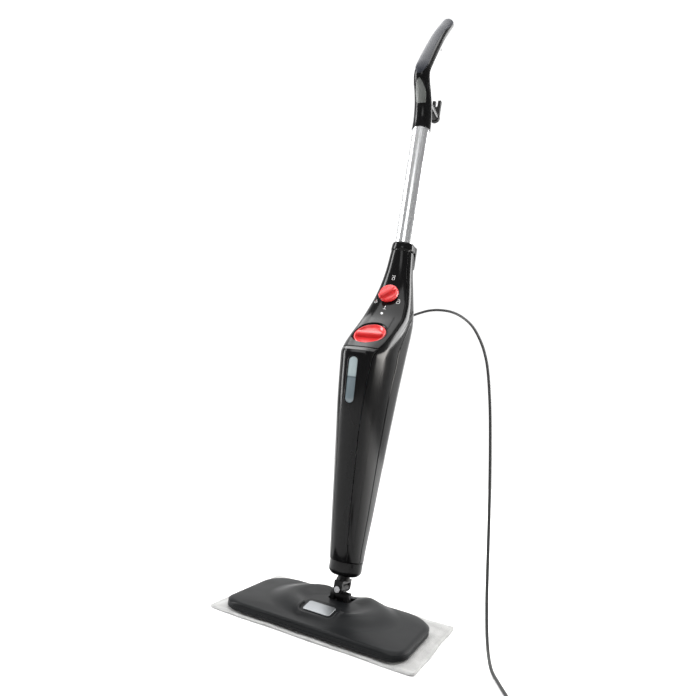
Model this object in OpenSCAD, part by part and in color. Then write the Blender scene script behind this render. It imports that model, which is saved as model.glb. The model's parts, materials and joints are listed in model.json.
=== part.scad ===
// Upright steam mop: a flat steam head with a microfibre pad, a two-axis neck joint, a deep slim
// housing with tank, pump and boiler, an aluminium tube, a raked grip, and a mains lead laid on the floor.
// Millimetres, +Z up. The origin is the middle of the pad's underside, and -Y is the front.

/* [Stance] */
// Lean of the housing back from upright, in degrees
lean = 6; // [0:1:10]
// Height of the crossing of the neck axes above the floor
neck_z = 44; // [42:1:48]
// Distance of the neck behind the middle of the pad
neck_y = 17; // [10:1:25]

/* [Head] */
// Width of the head
head_w = 304; // [280:1:320]
// Depth of the head
head_d = 170; // [160:1:175]
// Height of the head's edge above the floor
head_edge_z = 19; // [18:1:21]
// Height of the raised rim above the floor
head_rim_z = 33; // [31:1:36]
// Width of the pad
pad_w = 345; // [335:1:360]
// Depth of the pad
pad_d = 212; // [205:1:220]
// Thickness of the pad
pad_t = 6; // [5:0.5:7]

/* [Housing] */
// Wall of the moulded shells
wall = 2.4; // [2:0.1:3]
// Width of the open joint line between shells
seam = 1; // [0.6:0.1:1.4]
// Diameter of the filler cap
cap_d = 55; // [50:1:56]
// Diameter of the steam dial
dial_d = 35; // [30:1:36]

/* [Tube and handle] */
// Radius of the aluminium tube
tube_r = 16.3; // [15:0.1:17]
// Forward tilt of the tube on the housing, in degrees
tube_tilt = 2.3; // [1:0.1:4]
// Length of tube between the collar and the handle
tube_show = 234; // [220:1:250]
// Radius at the middle of the grip
grip_r = 14; // [13:0.5:15]

/* [Mains lead] */
// Diameter of the lead
cord_d = 5; // [4.8:0.1:5]

/* [Hidden] */
$fn = 48;
hull_fn = 32;
pin_gap = 0.05;

head_y = -19;
front_corner = 30;
rear_corner = 48;
base_z = pad_t + 1.4;
pitch_drop = 12;
pin_r = 3;
neck_r = 10;
knuckle_w = 17;
knuckle_l = 26;
fork_t = 5;
collar_r = 28;
shell_low = 46;
shell_top = 592;
cover_top = 388;
panel_low = cover_top + seam;
tube_v = 16;
tube_s = 600;
cap_s = 417;
cap_v = -66;
cap_tilt = 49;
lip = 3.4;
dial_s = 504;
dial_v = -11;
dial_tilt = 72;
dial_h = 14;
exit_s = 476;
exit_v = 51;
exit_rise = 20;
relief_l = 32;
screw_x = 110;
screw_y = 55;
badge = [46, 26];
tank_low = 256;
tank_high = 378;
steps = 8;

// Housing sections: height, half width, front, back, depth of the widest line, roundness of the front
BODY = [
    [28, 28, 28, 27, 0, 2],
    [64, 28.5, 42, 27.5, -1, 2.1],
    [121, 31.8, 58.5, 27.5, -2, 2.2],
    [183, 34.4, 73.5, 29, -4, 2.4],
    [239, 36.3, 87, 31, -5, 2.6],
    [300, 38.7, 103, 35, -5, 2.8],
    [345, 40.6, 110.5, 37.6, -5, 3],
    [368, 41.8, 113.5, 38.2, -4, 3.1],
    [380, 42.2, 113, 39, -3, 3.3],
    [387, 42.4, 103.5, 39.8, -2, 3.8],
    [400, 42.7, 89.5, 41.5, -1, 4.4],
    [420, 43.2, 70, 44.5, 1, 4.2],
    [440, 43.2, 51, 49, 4, 3.6],
    [460, 42.2, 33, 52, 8, 3.2],
    [480, 39.2, 21, 52.3, 12, 2.9],
    [500, 35, 12, 50.3, 16, 2.7],
    [525, 30, 6, 46.3, 19, 2.5],
    [555, 24.8, 4, 42.3, 18, 2.2],
    [592, 21, 4, 37.2, 16.5, 2]];
// Roundness of the rear half of every section
rear_round = 2.3;
// Angle of the crease between the front and a side, by height
CREASE = [[46, 60], [120, 65], [250, 67], [310, 63], [360, 59.5], [370, 58.5], [385, 56], [400, 51.5],
    [416, 46.5], [432, 42], [450, 39], [470, 38], [592, 36]];
// Angle of the joint between a side and the rear, by height
REAR_JOINT = [[46, 14], [150, 13], [320, 9], [390, 5], [445, 4], [480, -4], [520, -20], [592, -25]];

// Smooth value of one column of the section table at a height
function slope(i, k) =
    let (a = max(i - 1, 0), b = min(i + 1, len(BODY) - 1))
    (BODY[b][k] - BODY[a][k]) / (BODY[b][0] - BODY[a][0]);
function row_below(s) = max([for (i = [0:len(BODY) - 2]) if (BODY[i][0] <= s || i == 0) i]);
function at(s, k) =
    let (i = row_below(s), h = BODY[i + 1][0] - BODY[i][0], t = (s - BODY[i][0]) / h,
        t2 = t * t, t3 = t2 * t)
    BODY[i][k] * (2 * t3 - 3 * t2 + 1) + h * slope(i, k) * (t3 - 2 * t2 + t)
        + BODY[i + 1][k] * (3 * t2 - 2 * t3) + h * slope(i + 1, k) * (t3 - t2);

// Point of the housing surface at a height and an angle, 0 right, 90 front, 270 back, moved out by grow
function skin(s, a, grow) =
    let (ca = cos(a), sa = sin(a), mid = at(s, 4), e = 2 / (sa >= 0 ? at(s, 5) : rear_round),
        reach = sa >= 0 ? at(s, 2) + mid + grow : at(s, 3) - mid + grow)
    [(at(s, 1) + grow) * sign(ca) * pow(abs(ca), e), mid - sign(sa) * pow(abs(sa), e) * reach, s];

function crease(s) = lookup(s, CREASE);
function rear_joint(s) = lookup(s, REAR_JOINT);

// Heights every sheet of the housing is drawn through, so that neighbouring sheets bend together
LEVELS = [64, 92, 121, 152, 183, 211, 239, 270, 300, 323, 345, 360, 370, 377, 383, 388, 394, 400, 410, 420,
    430, 440, 450, 460, 470, 480, 492, 504, 516, 528, 541, 555, 573];

// A sheet of the housing between two heights and two edge angles, with its wall inwards
module skin_sheet(s0, s1, edge0, edge1, cols, gap) {
    heights = concat([s0], [for (s = LEVELS) if (s > s0 && s < s1) s], [s1]);
    rows = len(heights) - 1;
    function angle(s, j) = edge0(s) + gap + (edge1(s) - edge0(s) - 2 * gap) * j / cols;
    n = cols + 1;
    m = (rows + 1) * n;
    points = [for (g = [0, -wall], s = heights, j = [0:cols]) skin(s, angle(s, j), g)];
    faces = concat(
        [for (i = [0:rows - 1], j = [0:cols - 1], q = [0, 1]) let (a = i * n + j)
            q == 0 ? [a, a + n, a + 1] : [a + 1, a + n, a + n + 1]],
        [for (i = [0:rows - 1], j = [0:cols - 1], q = [0, 1]) let (a = m + i * n + j)
            q == 0 ? [a, a + 1, a + n] : [a + 1, a + n + 1, a + n]],
        [for (j = [0:cols - 1], q = [0, 1]) q == 0 ? [j, j + 1, m + j] : [j + 1, m + j + 1, m + j]],
        [for (j = [0:cols - 1], q = [0, 1]) let (a = rows * n + j)
            q == 0 ? [a, m + a, a + 1] : [a + 1, m + a, m + a + 1]],
        [for (i = [0:rows - 1], q = [0, 1]) let (a = i * n)
            q == 0 ? [a, m + a, a + n] : [a + n, m + a, m + a + n]],
        [for (i = [0:rows - 1], q = [0, 1]) let (a = i * n + cols)
            q == 0 ? [a, a + n, m + a] : [a + n, m + a + n, m + a]]);
    polyhedron(points, faces, convexity = 6);
}

// A closed solid through a list of rings with equal numbers of points
module ring_solid(rings) {
    n = len(rings[0]);
    last = len(rings) - 1;
    faces = concat(
        [for (i = [0:last - 1], j = [0:n - 1], q = [0, 1])
            let (a = i * n + j, b = i * n + (j + 1) % n)
            q == 0 ? [a, b, a + n] : [b, b + n, a + n]],
        [[for (j = [n - 1:-1:0]) j]],
        [[for (j = [0:n - 1]) last * n + j]]);
    polyhedron([for (r = rings, p = r) p], faces, convexity = 6);
}

// Frames: the leaning housing, its tube, the cap, the dial, and the exit of the lead on the housing
module on_stem() translate([0, neck_y, neck_z]) rotate([-lean, 0, 0]) children();
module on_tube() on_stem() translate([0, tube_v, tube_s]) rotate([tube_tilt, 0, 0]) children();
module on_cap() on_stem() translate([0, cap_v, cap_s]) rotate([cap_tilt, 0, 0]) children();
module on_exit() translate([0, exit_v, exit_s]) rotate([exit_rise - 90, 0, 0]) children();
module on_dial() on_stem() translate([0, dial_v, dial_s]) rotate([dial_tilt, 0, 0]) children();

module tube_x(r, l) rotate([0, 90, 0]) cylinder(r = r, h = l, center = true);
module tube_y(r, l) rotate([90, 0, 0]) cylinder(r = r, h = l, center = true);
module slab(w, d, h, r) linear_extrude(h) rounded(w, d, r);
module rounded(w, d, r) {
    square([w - 2 * r, d], center = true);
    square([w, d - 2 * r], center = true);
    for (x = [-1, 1], y = [-1, 1]) translate([x * (w / 2 - r), y * (d / 2 - r)]) circle(r);
}
module screw(r, head_r, l) {
    cylinder(r = r, h = l);
    translate([0, 0, -2.4]) difference() {
        cylinder(r = head_r, h = 2.4);
        translate([0, 0, -0.1]) cylinder(r = head_r * 0.4, h = 1.3, $fn = 6);
    }
}

// ---- Head ----
// Height of the head's top surface: a crowned slab, an oval raised rim, and a lower floor inside it
function edge_fall(t) = 1 - pow(1 - min(t, 1), 2);
function rim_shape(x, y) = sqrt(pow(x / 72, 2) + pow((y + 8) / 58, 2));
function bump(t) = t <= 0 ? 1 : t >= 1 ? 0 : 1 - t * t * (3 - 2 * t);
function rear_gap(x, y) = y < 20 ? 1 : 1 - bump(abs(x) / 46) * min((y - 20) / 20, 1);
function head_top(x, y, inset) =
    let (q = rim_shape(x, y), crown = 3.5 * edge_fall(inset / 30),
        rise = q > 1 ? bump((q - 1) / 0.55) : 1 - 0.5 * bump((q - 0.55) / 0.4),
        rim = (head_rim_z - head_edge_z - 2) * rise)
    head_edge_z - 3 * pow(1 - min(inset / 6, 1), 2) + crown * (1 - bump((q - 1) / 0.55) * 0.6)
        + rim * rear_gap(x, y);
// Outline of the head by angle: a rectangle with round corners
function corner_reach(a, hw, hd) =
    let (r = sin(a) > 0 ? rear_corner : front_corner, c = abs(cos(a)), s = abs(sin(a)),
        cx = hw - r, cy = hd - r,
        by_x = hw / max(c, 0.0001), by_y = hd / max(s, 0.0001), proj = cx * c + cy * s,
        on_arc = proj + sqrt(max(proj * proj - (cx * cx + cy * cy - r * r), 0)))
    by_x * s <= cy ? by_x : by_y * c <= cx ? by_y : on_arc;
// Height of the low floor in the middle of the head
head_mid_z = head_edge_z + 1.4 + (head_rim_z - head_edge_z - 2) / 2;
HEAD_RINGS = [0, 2.5, 6, 12, 20, 30, 41, 52, 63, 74];
module head_surface_solid(drop, low) {
    n = 64;
    function reach(j) = corner_reach(-j * 360 / n, head_w / 2, head_d / 2) - drop;
    function spot(j, inset) =
        let (a = -j * 360 / n, r = reach(j), k = r * (1 - inset / 82))
        [k * cos(a), head_y + k * sin(a)];
    rings = concat(
        [[for (j = [0:n - 1]) let (p = spot(j, 0)) [p[0], p[1], low]]],
        [for (inset = HEAD_RINGS) [for (j = [0:n - 1]) let (p = spot(j, inset))
            [p[0], p[1], head_top(p[0], p[1], inset) - drop]]]);
    ring_solid(concat(rings, [[for (j = [0:n - 1]) let (p = spot(j, 80))
        [p[0], p[1], head_mid_z - drop]]]));
}
module head_cover() color("dimgray") difference() {
    union() {
        difference() {
            head_surface_solid(0, base_z + 0.2);
            head_surface_solid(wall, base_z - 5);
        }
        intersection() {
            head_surface_solid(0.2, base_z);
            at_head_screws() translate([0, 0, base_z + 3.6]) cylinder(r = 3.6, h = 30);
        }
        on_badge() translate([0, 0, -5]) slab(badge[0] + 6, badge[1] + 6, 5, 6);
    }
    on_badge() slab(badge[0] + 0.6, badge[1] + 0.6, 9, 4.3);
    translate([0, neck_y + 9, 0]) slab(40, 42, 60, 8);
    at_head_screws() cylinder(r = 1.5, h = 17);
}
module at_head_screws() for (x = [-screw_x, screw_x], y = [-screw_y, screw_y])
    translate([x, head_y + y, 0]) children();
module on_badge() translate([0, -61, 31]) rotate([11, 0, 0]) children();
module head_base() color("dimgray") difference() {
    translate([0, head_y, base_z]) slab(head_w - 7, head_d - 7, 3.4, rear_corner - 4);
    for (x = [-84:24:84]) translate([x, head_y, 0]) slab(3, 18, 30, 1.4);
    at_head_screws() cylinder(r = 1.6, h = 30);
    at_head_screws() cylinder(r = 3.3, h = base_z + 2.45);
}
module steam_channel() color("darkgray") difference() {
    translate([0, head_y, base_z + 3.4]) slab(190, 28, 5, 5);
    translate([0, head_y, base_z + 3.3]) slab(184, 22, 3, 4);
    translate([0, head_y, 0]) cylinder(r = 3, h = 30);
}
module head_screws() color("silver") at_head_screws() translate([0, 0, base_z + 2.4]) screw(1.5, 3.2, 6);
module hook_strips() color("black")
    for (x = [-110, -37, 37, 110], y = [-1, 1])
        translate([x, head_y + y * 30, pad_t + 0.1]) slab(52, 16, 1.2, 2);
module badge_plate() color("silver") on_badge() translate([0, 0, 0.05]) slab(badge[0], badge[1], 1.6, 4);
module cleaning_pad() color("whitesmoke") slab(pad_w, pad_d, pad_t, 6);
module pad_tag() color("white")
    translate([-62, pad_d / 2 + 6, 0.4]) slab(30, 11.6, 1.4, 0.6);

// ---- Neck ----
pitch_y = neck_y - pitch_drop * sin(lean);
pitch_z = neck_z - pitch_drop * cos(lean);
module hinge_bracket() color("black") difference() {
    union() {
        translate([0, pitch_y + 1, base_z + 3.4]) slab(42, 32, 4, 6);
        for (x = [-1, 1]) translate([x * (knuckle_w / 2 + 3.9), pitch_y, 0]) {
            translate([0, 0, pitch_z]) tube_x(7.5, 7);
            translate([0, 0, (base_z + pitch_z) / 2 + 3]) cube([7, 15, pitch_z - base_z - 6], center = true);
        }
    }
    translate([0, pitch_y, pitch_z]) tube_x(pin_r, 60);
}
module pitch_pin() color("silver") translate([0, pitch_y, pitch_z]) tube_x(pin_r, 34);
module knuckle() color("black") on_stem() difference() {
    union() {
        translate([0, 0, -pitch_drop]) tube_x(7, knuckle_w);
        tube_y(7, knuckle_l);
        translate([0, 0, -pitch_drop / 2]) cube([13, 13, pitch_drop + 1], center = true);
    }
    tube_y(pin_r + pin_gap, 60);
    translate([0, 0, -pitch_drop]) tube_x(pin_r + pin_gap, 60);
}
fork_in = knuckle_l / 2 + 0.8;
fork_out = fork_in + fork_t;
module roll_pin() color("silver") on_stem() {
    translate([0, 0.3, 0]) tube_y(pin_r, 2 * fork_out + 4.6);
    translate([0, -fork_out - 1.1, 0]) tube_y(5, 2);
}
module roll_pin_clip() color("silver") on_stem() translate([0, fork_out + 0.8, 0]) difference() {
    tube_y(5.2, 1);
    tube_y(pin_r, 3);
}
module neck_washers() color("dimgray") on_stem()
    for (y = [-1, 1]) translate([0, y * (knuckle_l / 2 + 0.4), 0]) difference() {
        tube_y(6, 0.5);
        tube_y(pin_r + pin_gap, 3);
    }
module neck_yoke() color("black") on_stem() difference() {
    union() {
        translate([0, 0, 13]) cylinder(r1 = neck_r + 2, r2 = neck_r, h = 5);
        translate([0, 0, 16]) cylinder(r = neck_r, h = 54);
        for (y = [-1, 1]) translate([0, y * (fork_in + fork_t / 2), 0]) {
            tube_y(7.5, fork_t);
            translate([0, 0, 6.5]) cube([15, fork_t, 13], center = true);
        }
        translate([0, 0, 11]) cube([15, 2 * fork_out, 5], center = true);
    }
    tube_y(pin_r, 60);
    translate([0, 0, 8]) cylinder(r = 5, h = 80);
}
module lower_collar() color("black") on_stem() rotate_extrude() polygon([
    [neck_r + 0.1, 22], [collar_r - 6, 22], [collar_r - 1.5, 26], [collar_r, 30], [collar_r, 45],
    [collar_r - wall, 45], [collar_r - wall, 40], [neck_r + 0.1, 40]]);

// ---- Housing shells ----
module rear_shell() color("black") on_stem() difference() {
    skin_sheet(shell_low, shell_top, function (s) 180 - rear_joint(s), function (s) 360 + rear_joint(s),
        16, 0.5);
    on_exit() cylinder(r = 7.2, h = 30, center = true);
    for (s = [110, 300]) translate([0, 20, s]) rotate([-90, 0, 0]) cylinder(r = 2, h = 40);
}
module side_panel_right() color("black") on_stem()
    skin_sheet(shell_low, shell_top, function (s) rear_joint(s), function (s) crease(s), steps, 0.6);
module side_panel_left() color("black") on_stem() mirror([1, 0, 0])
    skin_sheet(shell_low, shell_top, function (s) rear_joint(s), function (s) crease(s), steps, 0.6);
module window_slot(grow) translate([0, -130, 0]) rotate([-90, 0, 0]) linear_extrude(60) {
    for (s = [304, 362]) translate([0, -s]) circle(10 + grow);
    translate([-10 - grow, -362]) square([20 + 2 * grow, 58]);
}
module front_cover() color("black") on_stem() difference() {
    skin_sheet(shell_low, cover_top, function (s) crease(s), function (s) 180 - crease(s), steps, 0.6);
    window_slot(0);
}
module window_lens() color("lightsteelblue") on_stem() intersection() {
    skin_sheet(290, 376, function (s) 70, function (s) 110, 4, 0);
    window_slot(-0.3);
}
module control_panel() color("black") difference() {
    on_stem() skin_sheet(panel_low, shell_top, function (s) crease(s), function (s) 180 - crease(s),
        10, 0.6);
    on_cap() cylinder(r = cap_d / 2 + lip + 0.2, h = 60, center = true);
    on_dial() cylinder(r = 5, h = 30, center = true);
    on_stem() translate([0, -40, 464]) rotate([-90, 0, 0]) cylinder(r = 2.3, h = 40);
}
module shell_screws() color("silver") on_stem()
    for (p = [[110, 27.8], [300, 35.4]]) translate([0, p[1], p[0]]) rotate([90, 0, 0]) screw(1.8, 3.6, 9);

// ---- Tank and cap ----
module tank_form(s0, s1, inward) ring_solid([for (i = [0:8]) let (s = s0 + (s1 - s0) * i / 8)
    [for (a = [-20:10:200]) skin(s, a, -inward)]]);
module water_tank() color("lightsteelblue") difference() {
    union() {
        on_stem() tank_form(tank_low, tank_high, wall + 2);
        on_cap() translate([0, 0, -70]) cylinder(r = 18, h = 58);
    }
    on_stem() tank_form(tank_low + 2, tank_high - 2, wall + 4);
    on_cap() translate([0, 0, -66]) cylinder(r = 15.8, h = 60);
}
module filler_bezel() color("dimgray") on_cap() rotate_extrude() polygon([
    [18.2, -12], [cap_d / 2 + 2.2, -12], [cap_d / 2 + 2.2, -1], [cap_d / 2 + lip, 1.2],
    [cap_d / 2 + lip - 1, 2.5], [cap_d / 2 + 0.6, 1], [cap_d / 2 + 0.6, -9], [18.2, -9]]);
module filler_seal() color("black") on_cap() translate([0, 0, -20]) difference() {
    cylinder(r = 15.75, h = 3);
    translate([0, 0, -1]) cylinder(r = 13.2, h = 5);
}
module cap_stopper() color("dimgray") on_cap() rotate_extrude() polygon([
    [0, -28], [11, -28], [14.5, -26], [14.5, -20.5], [13, -20.5], [13, -16.5], [15.2, -16.5], [15.2, -8],
    [0, -8]]);
module cap_knob() color("tomato") on_cap() union() {
    difference() {
        translate([0, 0, -8]) cylinder(r = cap_d / 2, h = 10);
        translate([0, 0, -2.5]) cylinder(r1 = cap_d / 2 - 5, r2 = cap_d / 2 - 2, h = 5);
    }
    translate([0, 0, -2.5]) slab(cap_d - 8, 9, 8, 4);
}

// ---- Controls ----
module dial_knob() color("tomato") on_dial() translate([0, 0, 1.7]) difference() {
    union() {
        cylinder(r1 = dial_d / 2, r2 = dial_d / 2 - 1.5, h = 6.4);
        rotate([0, 0, 130]) translate([0, 1.5, 5]) slab(8.5, dial_d - 1, dial_h - 6, 3.5);
    }
    translate([0, 0, -1]) cylinder(r = 3, h = 9);
}
module dial_shaft() color("silver") on_dial() translate([0, 0, -14]) cylinder(r = 3, h = 23.7);
module dial_switch() color("dimgray") on_dial() translate([0, 0, -26]) difference() {
    slab(26, 26, 16, 3);
    translate([0, 0, 12]) cylinder(r = 3.05, h = 10);
}
module led_lens() color("white") on_stem() translate([0, -31, 464]) rotate([-90, 0, 0])
    cylinder(r = 2.2, h = 8);
module circuit_board() color("darkgreen") on_stem() translate([0, 24, 432])
    cube([52, 1.6, 84], center = true);

// ---- Water and steam ----
module water_pump() color("gray") on_stem() translate([0, 0, 196]) {
    slab(34, 40, 44, 4);
    translate([0, 0, -15]) cylinder(r = 9, h = 68);
}
module pump_mounts() color("black") on_stem() for (s = [183, 244]) translate([0, 0, s]) difference() {
    cylinder(r = 14, h = 3);
    translate([0, 0, -1]) cylinder(r = 9, h = 5);
}
module boiler() color("darkgray") on_stem() translate([0, -6, 88]) {
    slab(40, 38, 80, 12);
    translate([0, 6, -20]) cylinder(r = 5, h = 20);
}
module boiler_bracket() color("silver") on_stem() translate([0, -6, 0]) for (s = [96, 154])
    translate([0, 0, s]) difference() {
        slab(44.4, 42.4, 6, 13);
        translate([0, 0, -1]) slab(40, 38, 8, 12);
    }
module thermostat() color("silver") on_stem() translate([0, 13.1, 140]) rotate([-90, 0, 0])
    cylinder(r = 7, h = 8);
module thermal_fuse() color("white") on_stem() translate([0, 16.1, 118]) tube_x(3, 16);
module suction_hose() color("lightgray") on_stem() translate([0, 0, 249]) cylinder(r = 4, h = 7);
module pressure_hose() color("lightgray") on_stem() translate([0, 0, 168]) cylinder(r = 3, h = 13);
module steam_hose() color("lightgray") on_stem() translate([0, 0, 24]) difference() {
    cylinder(r = 4, h = 44);
    translate([0, 0, -1]) cylinder(r = 2.2, h = 60);
}
module strain_relief() color("black") on_exit() rotate_extrude() polygon([
    [0, -9], [9.5, -9], [9.5, -7.6], [7, -7.6], [7, 4], [8, 4], [8, 6.5], [5.6, 7.5], [3.6, relief_l],
    [0, relief_l]]);

// ---- Collar, tube and lower hook ----
module tube_outline(r) difference() {
    circle(r, $fn = 96);
    for (a = [-132, -48, 48, 132]) rotate(a) translate([r + 0.2, 0]) circle(1, $fn = 16);
}
screw_hole = -30;
grip_in = 22;
module tube() color("silver") on_tube() difference() {
    translate([0, 0, -58]) linear_extrude(58 + tube_show + grip_in) difference() {
        tube_outline(tube_r);
        circle(tube_r - 1.4, $fn = 96);
    }
    translate([0, tube_r, screw_hole]) tube_y(1.8, 8);
}
module upper_collar() color("black") on_tube() rotate_extrude() polygon([
    [tube_r + 0.2, -6], [tube_r + 4.4, -6], [tube_r + 4.9, -3], [tube_r + 4.2, 6], [tube_r + 2.6, 9],
    [tube_r + 0.2, 9]]);
module tube_screw() color("silver") on_tube() translate([0, tube_r + 0.9, screw_hole]) rotate([90, 0, 0])
    screw(1.8, 3.4, 9);
module lower_cord_hook() color("black") on_tube() difference() {
    union() {
        translate([0, 35, 14]) cube([13, 36, 12], center = true);
        translate([0, 54, -1]) cube([14, 6, 42], center = true);
    }
    cylinder(r = tube_r + 0.3, h = 80, center = true);
    translate([0, 0, -40]) cylinder(r = tube_r + 5, h = 49.1);
}

// ---- Handle, in the tube's frame ----
hand_low = tube_show + 1;
grip_low = [-39, 328];
grip_lean = 30.2;
grip_len = 194;
grip_bow = 4.6;
insert_back = -8;
grip_end = 16;
hook_z = 297;
hook_y = 64.5;
arm_end = 60.6;
HAND_SCREWS = [[-4, 276], [11, 409]];
module on_grip() translate([0, grip_low[0], grip_low[1]]) rotate([-grip_lean, 0, 0]) children();
module on_hook() translate([0, 0, hook_z]) children();
// Distance along the grip, its bow to the front there, and its radius there
function grip_bend(t) = -grip_bow * (1 - pow(2 * t / grip_len - 1, 2));
function grip_size(t) = let (u = t < 0 ? -t / grip_end : t > grip_len ? (t - grip_len) / grip_end : 0)
    (grip_r + 1 - 2 * max(t, 0) / grip_len) * sqrt(max(1 - u * u, 0.004));
GRIP_STEPS = concat([-16, -15, -13, -9, -4], [for (k = [0:8]) k * grip_len / 8],
    [for (u = [4, 9, 13, 15, 16]) grip_len + u]);
module grip_form(grow) on_grip() ring_solid([for (t = GRIP_STEPS) [for (j = [0:23])
    [(grip_size(t) + grow) * cos(-j * 15), grip_bend(t) + (grip_size(t) + grow) * sin(-j * 15), t]]]);
module hand_form() {
    translate([0, 0, hand_low]) cylinder(r = tube_r + 1.3, h = 16);
    hull() {
        translate([0, 0, hand_low + 14]) cylinder(r = tube_r + 1.2, h = 8, $fn = hull_fn);
        translate([0, -9.4, 288]) rotate([14, 0, 0]) cylinder(r = tube_r - 0.2, h = 4, $fn = hull_fn);
    }
    hull() {
        translate([0, -9.4, 288]) rotate([14, 0, 0]) cylinder(r = tube_r - 0.2, h = 4, $fn = hull_fn);
        on_grip() translate([0, 0, -8]) cylinder(r = grip_r - 1, h = 14, $fn = hull_fn);
    }
    grip_form(0);
    on_hook() translate([0, 26, 0]) tube_y(8, 2 * (arm_end - 26));
}
module hand_half(side) on_tube() difference() {
    intersection() {
        hand_form();
        translate([side * 50, 0, 300]) cube([100 - 0.3, 400, 700], center = true);
    }
    cylinder(r = tube_r + 0.05, h = hand_low + grip_in + 1);
    on_hook() translate([0, arm_end - 6, 0]) tube_y(4.05, 16);
    on_hook() translate([0, arm_end - 18, 0]) tube_y(2, 30);
    insert_room();
    inset_room(0);
    for (p = HAND_SCREWS) translate([0, p[0], p[1]]) {
        tube_x(1.9, 60);
        translate([10, 0, 0]) rotate([0, 90, 0]) cylinder(r = 3.2, h = 20);
    }
}
module insert_room() on_grip() translate([-40, insert_back - 42, -30]) cube([80, 42, grip_len + 60]);
module inset_room(inward) translate([0, -34.5, 306]) rotate([117, 0, 0]) translate([0, 0, inward - 4])
    linear_extrude(16) {
        translate([0, 2]) circle(8.5 - inward);
        translate([inward - 8.5, inward - 23]) square([17 - 2 * inward, 25 - inward]);
    }
module handle_left() color("black") hand_half(-1);
module handle_right() color("black") hand_half(1);
module grip_insert() color("slategray") on_tube() intersection() {
    grip_form(0.6);
    on_grip() translate([-40, insert_back - 42, -30]) cube([80, 41.8, grip_len + 60]);
}
module handle_inset() color("gray") on_tube() difference() {
    intersection() {
        hand_form();
        inset_room(0.15);
    }
    insert_room();
}
module handle_screws() color("silver") on_tube()
    for (p = HAND_SCREWS) translate([10, p[0], p[1]]) rotate([0, -90, 0]) screw(1.6, 3, 16);
module upper_cord_hook() color("black") on_tube() on_hook() difference() {
    union() {
        translate([0, hook_y, 0]) tube_y(9.5, 7);
        translate([0, hook_y, 17.8]) cube([17, 7, 35.5], center = true);
        translate([0, arm_end - 4.5, 0]) tube_y(4, 16);
    }
    translate([0, hook_y, 36]) cube([5.6, 20, 22], center = true);
    translate([0, hook_y, 25]) tube_y(2.8, 20);
    translate([0, hook_y, 0]) tube_y(2.05, 80);
}
module hook_screw() color("silver") on_tube() on_hook() translate([0, hook_y + 3.6, 0]) rotate([90, 0, 0])
    screw(2, 4, 38);

// ---- Mains lead ----
relief_tip = [0, neck_y + exit_v * cos(lean) + exit_s * sin(lean) + relief_l * cos(exit_rise - lean),
    neck_z - exit_v * sin(lean) + exit_s * cos(lean) + relief_l * sin(exit_rise - lean)];
ROUTE = concat([relief_tip], [[0, 158, 522], [2, 168, 525], [8, 177, 530], [20, 184, 537], [37, 187, 543],
    [58, 187, 545], [82, 183, 542], [106, 175, 532], [129, 163, 515], [148, 151, 491], [163, 139, 464],
    [175, 127, 430], [189, 108, 370], [201, 90, 300], [212, 72, 225], [222, 54, 150], [232, 34, 80],
    [243, 12, 30], [256, -14, 6], [272, -44, 2.5], [290, -78, 2.5], [304, -108, 2.5], [311, -130, 3],
    [313, -150, 3.5]]);
function mix(p, t, i) = let (a = p[max(i - 1, 0)], b = p[i], c = p[i + 1], d = p[min(i + 2, len(p) - 1)])
    0.5 * (2 * b + (c - a) * t + (2 * a - 5 * b + 4 * c - d) * t * t + (3 * b - a - 3 * c + d) * t * t * t);
module swept(path, r, sides) {
    last = len(path) - 1;
    ring_solid([for (i = [0:last])
        let (d = path[min(i + 1, last)] - path[max(i - 1, 0)], u = d / norm(d),
            side = cross(u, [0.1, -0.2, 1]), x = side / norm(side), y = cross(u, x))
        [for (j = [0:sides - 1]) path[i] + r * (cos(j * 360 / sides) * x - sin(j * 360 / sides) * y)]]);
}
function fine(p, k) = concat([for (i = [0:len(p) - 2], t = [0:k - 1]) mix(p, t / k, i)], [p[len(p) - 1]]);
coil_x = 352;
coil_y = -150;
module cord_tube() color("black") swept(fine(ROUTE, 4), cord_d / 2, 10);
coil_in = 18;
coil_out = 42;
coil_h = 30;
// The lead leaves the top of the coil at this angle, and ends in the plug
leave = 200;
plug_at = [288, -220, 10];
plug_l = 18;
plug_cone = 16;
TAIL = [[coil_x + (coil_out - 3) * cos(leave), coil_y + (coil_out - 3) * sin(leave), coil_h - 1.5],
    [321, -182, 26], [322, -198, 20], [316, -211, 13], [303, -218, 10], plug_at];
module cord_coil() color("black") translate([coil_x, coil_y, 1]) rotate_extrude()
    translate([coil_in, 0]) square([coil_out - coil_in, coil_h]);
module cord_tail() color("black") swept(fine(TAIL, 4), cord_d / 2, 10);
module cord_tie() color("dimgray") translate([coil_x + 30, coil_y, 0]) difference() {
    translate([0, 0, 16]) cube([26.8, 6, 32], center = true);
    translate([0, 0, 16]) cube([24.8, 20, 30.1], center = true);
}
module plug_body() color("black") translate(plug_at) rotate([0, -90, 0]) {
    cylinder(r1 = 5, r2 = 9, h = plug_cone);
    translate([0, 0, plug_cone]) cylinder(r = 9.8, h = plug_l);
}
module plug_pins() color("silver") translate(plug_at) rotate([0, -90, 0])
    translate([0, 0, plug_cone + plug_l])
    for (y = [-9.5, 9.5]) translate([0, y, 0]) cylinder(r = 2.4, h = 19);

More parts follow.
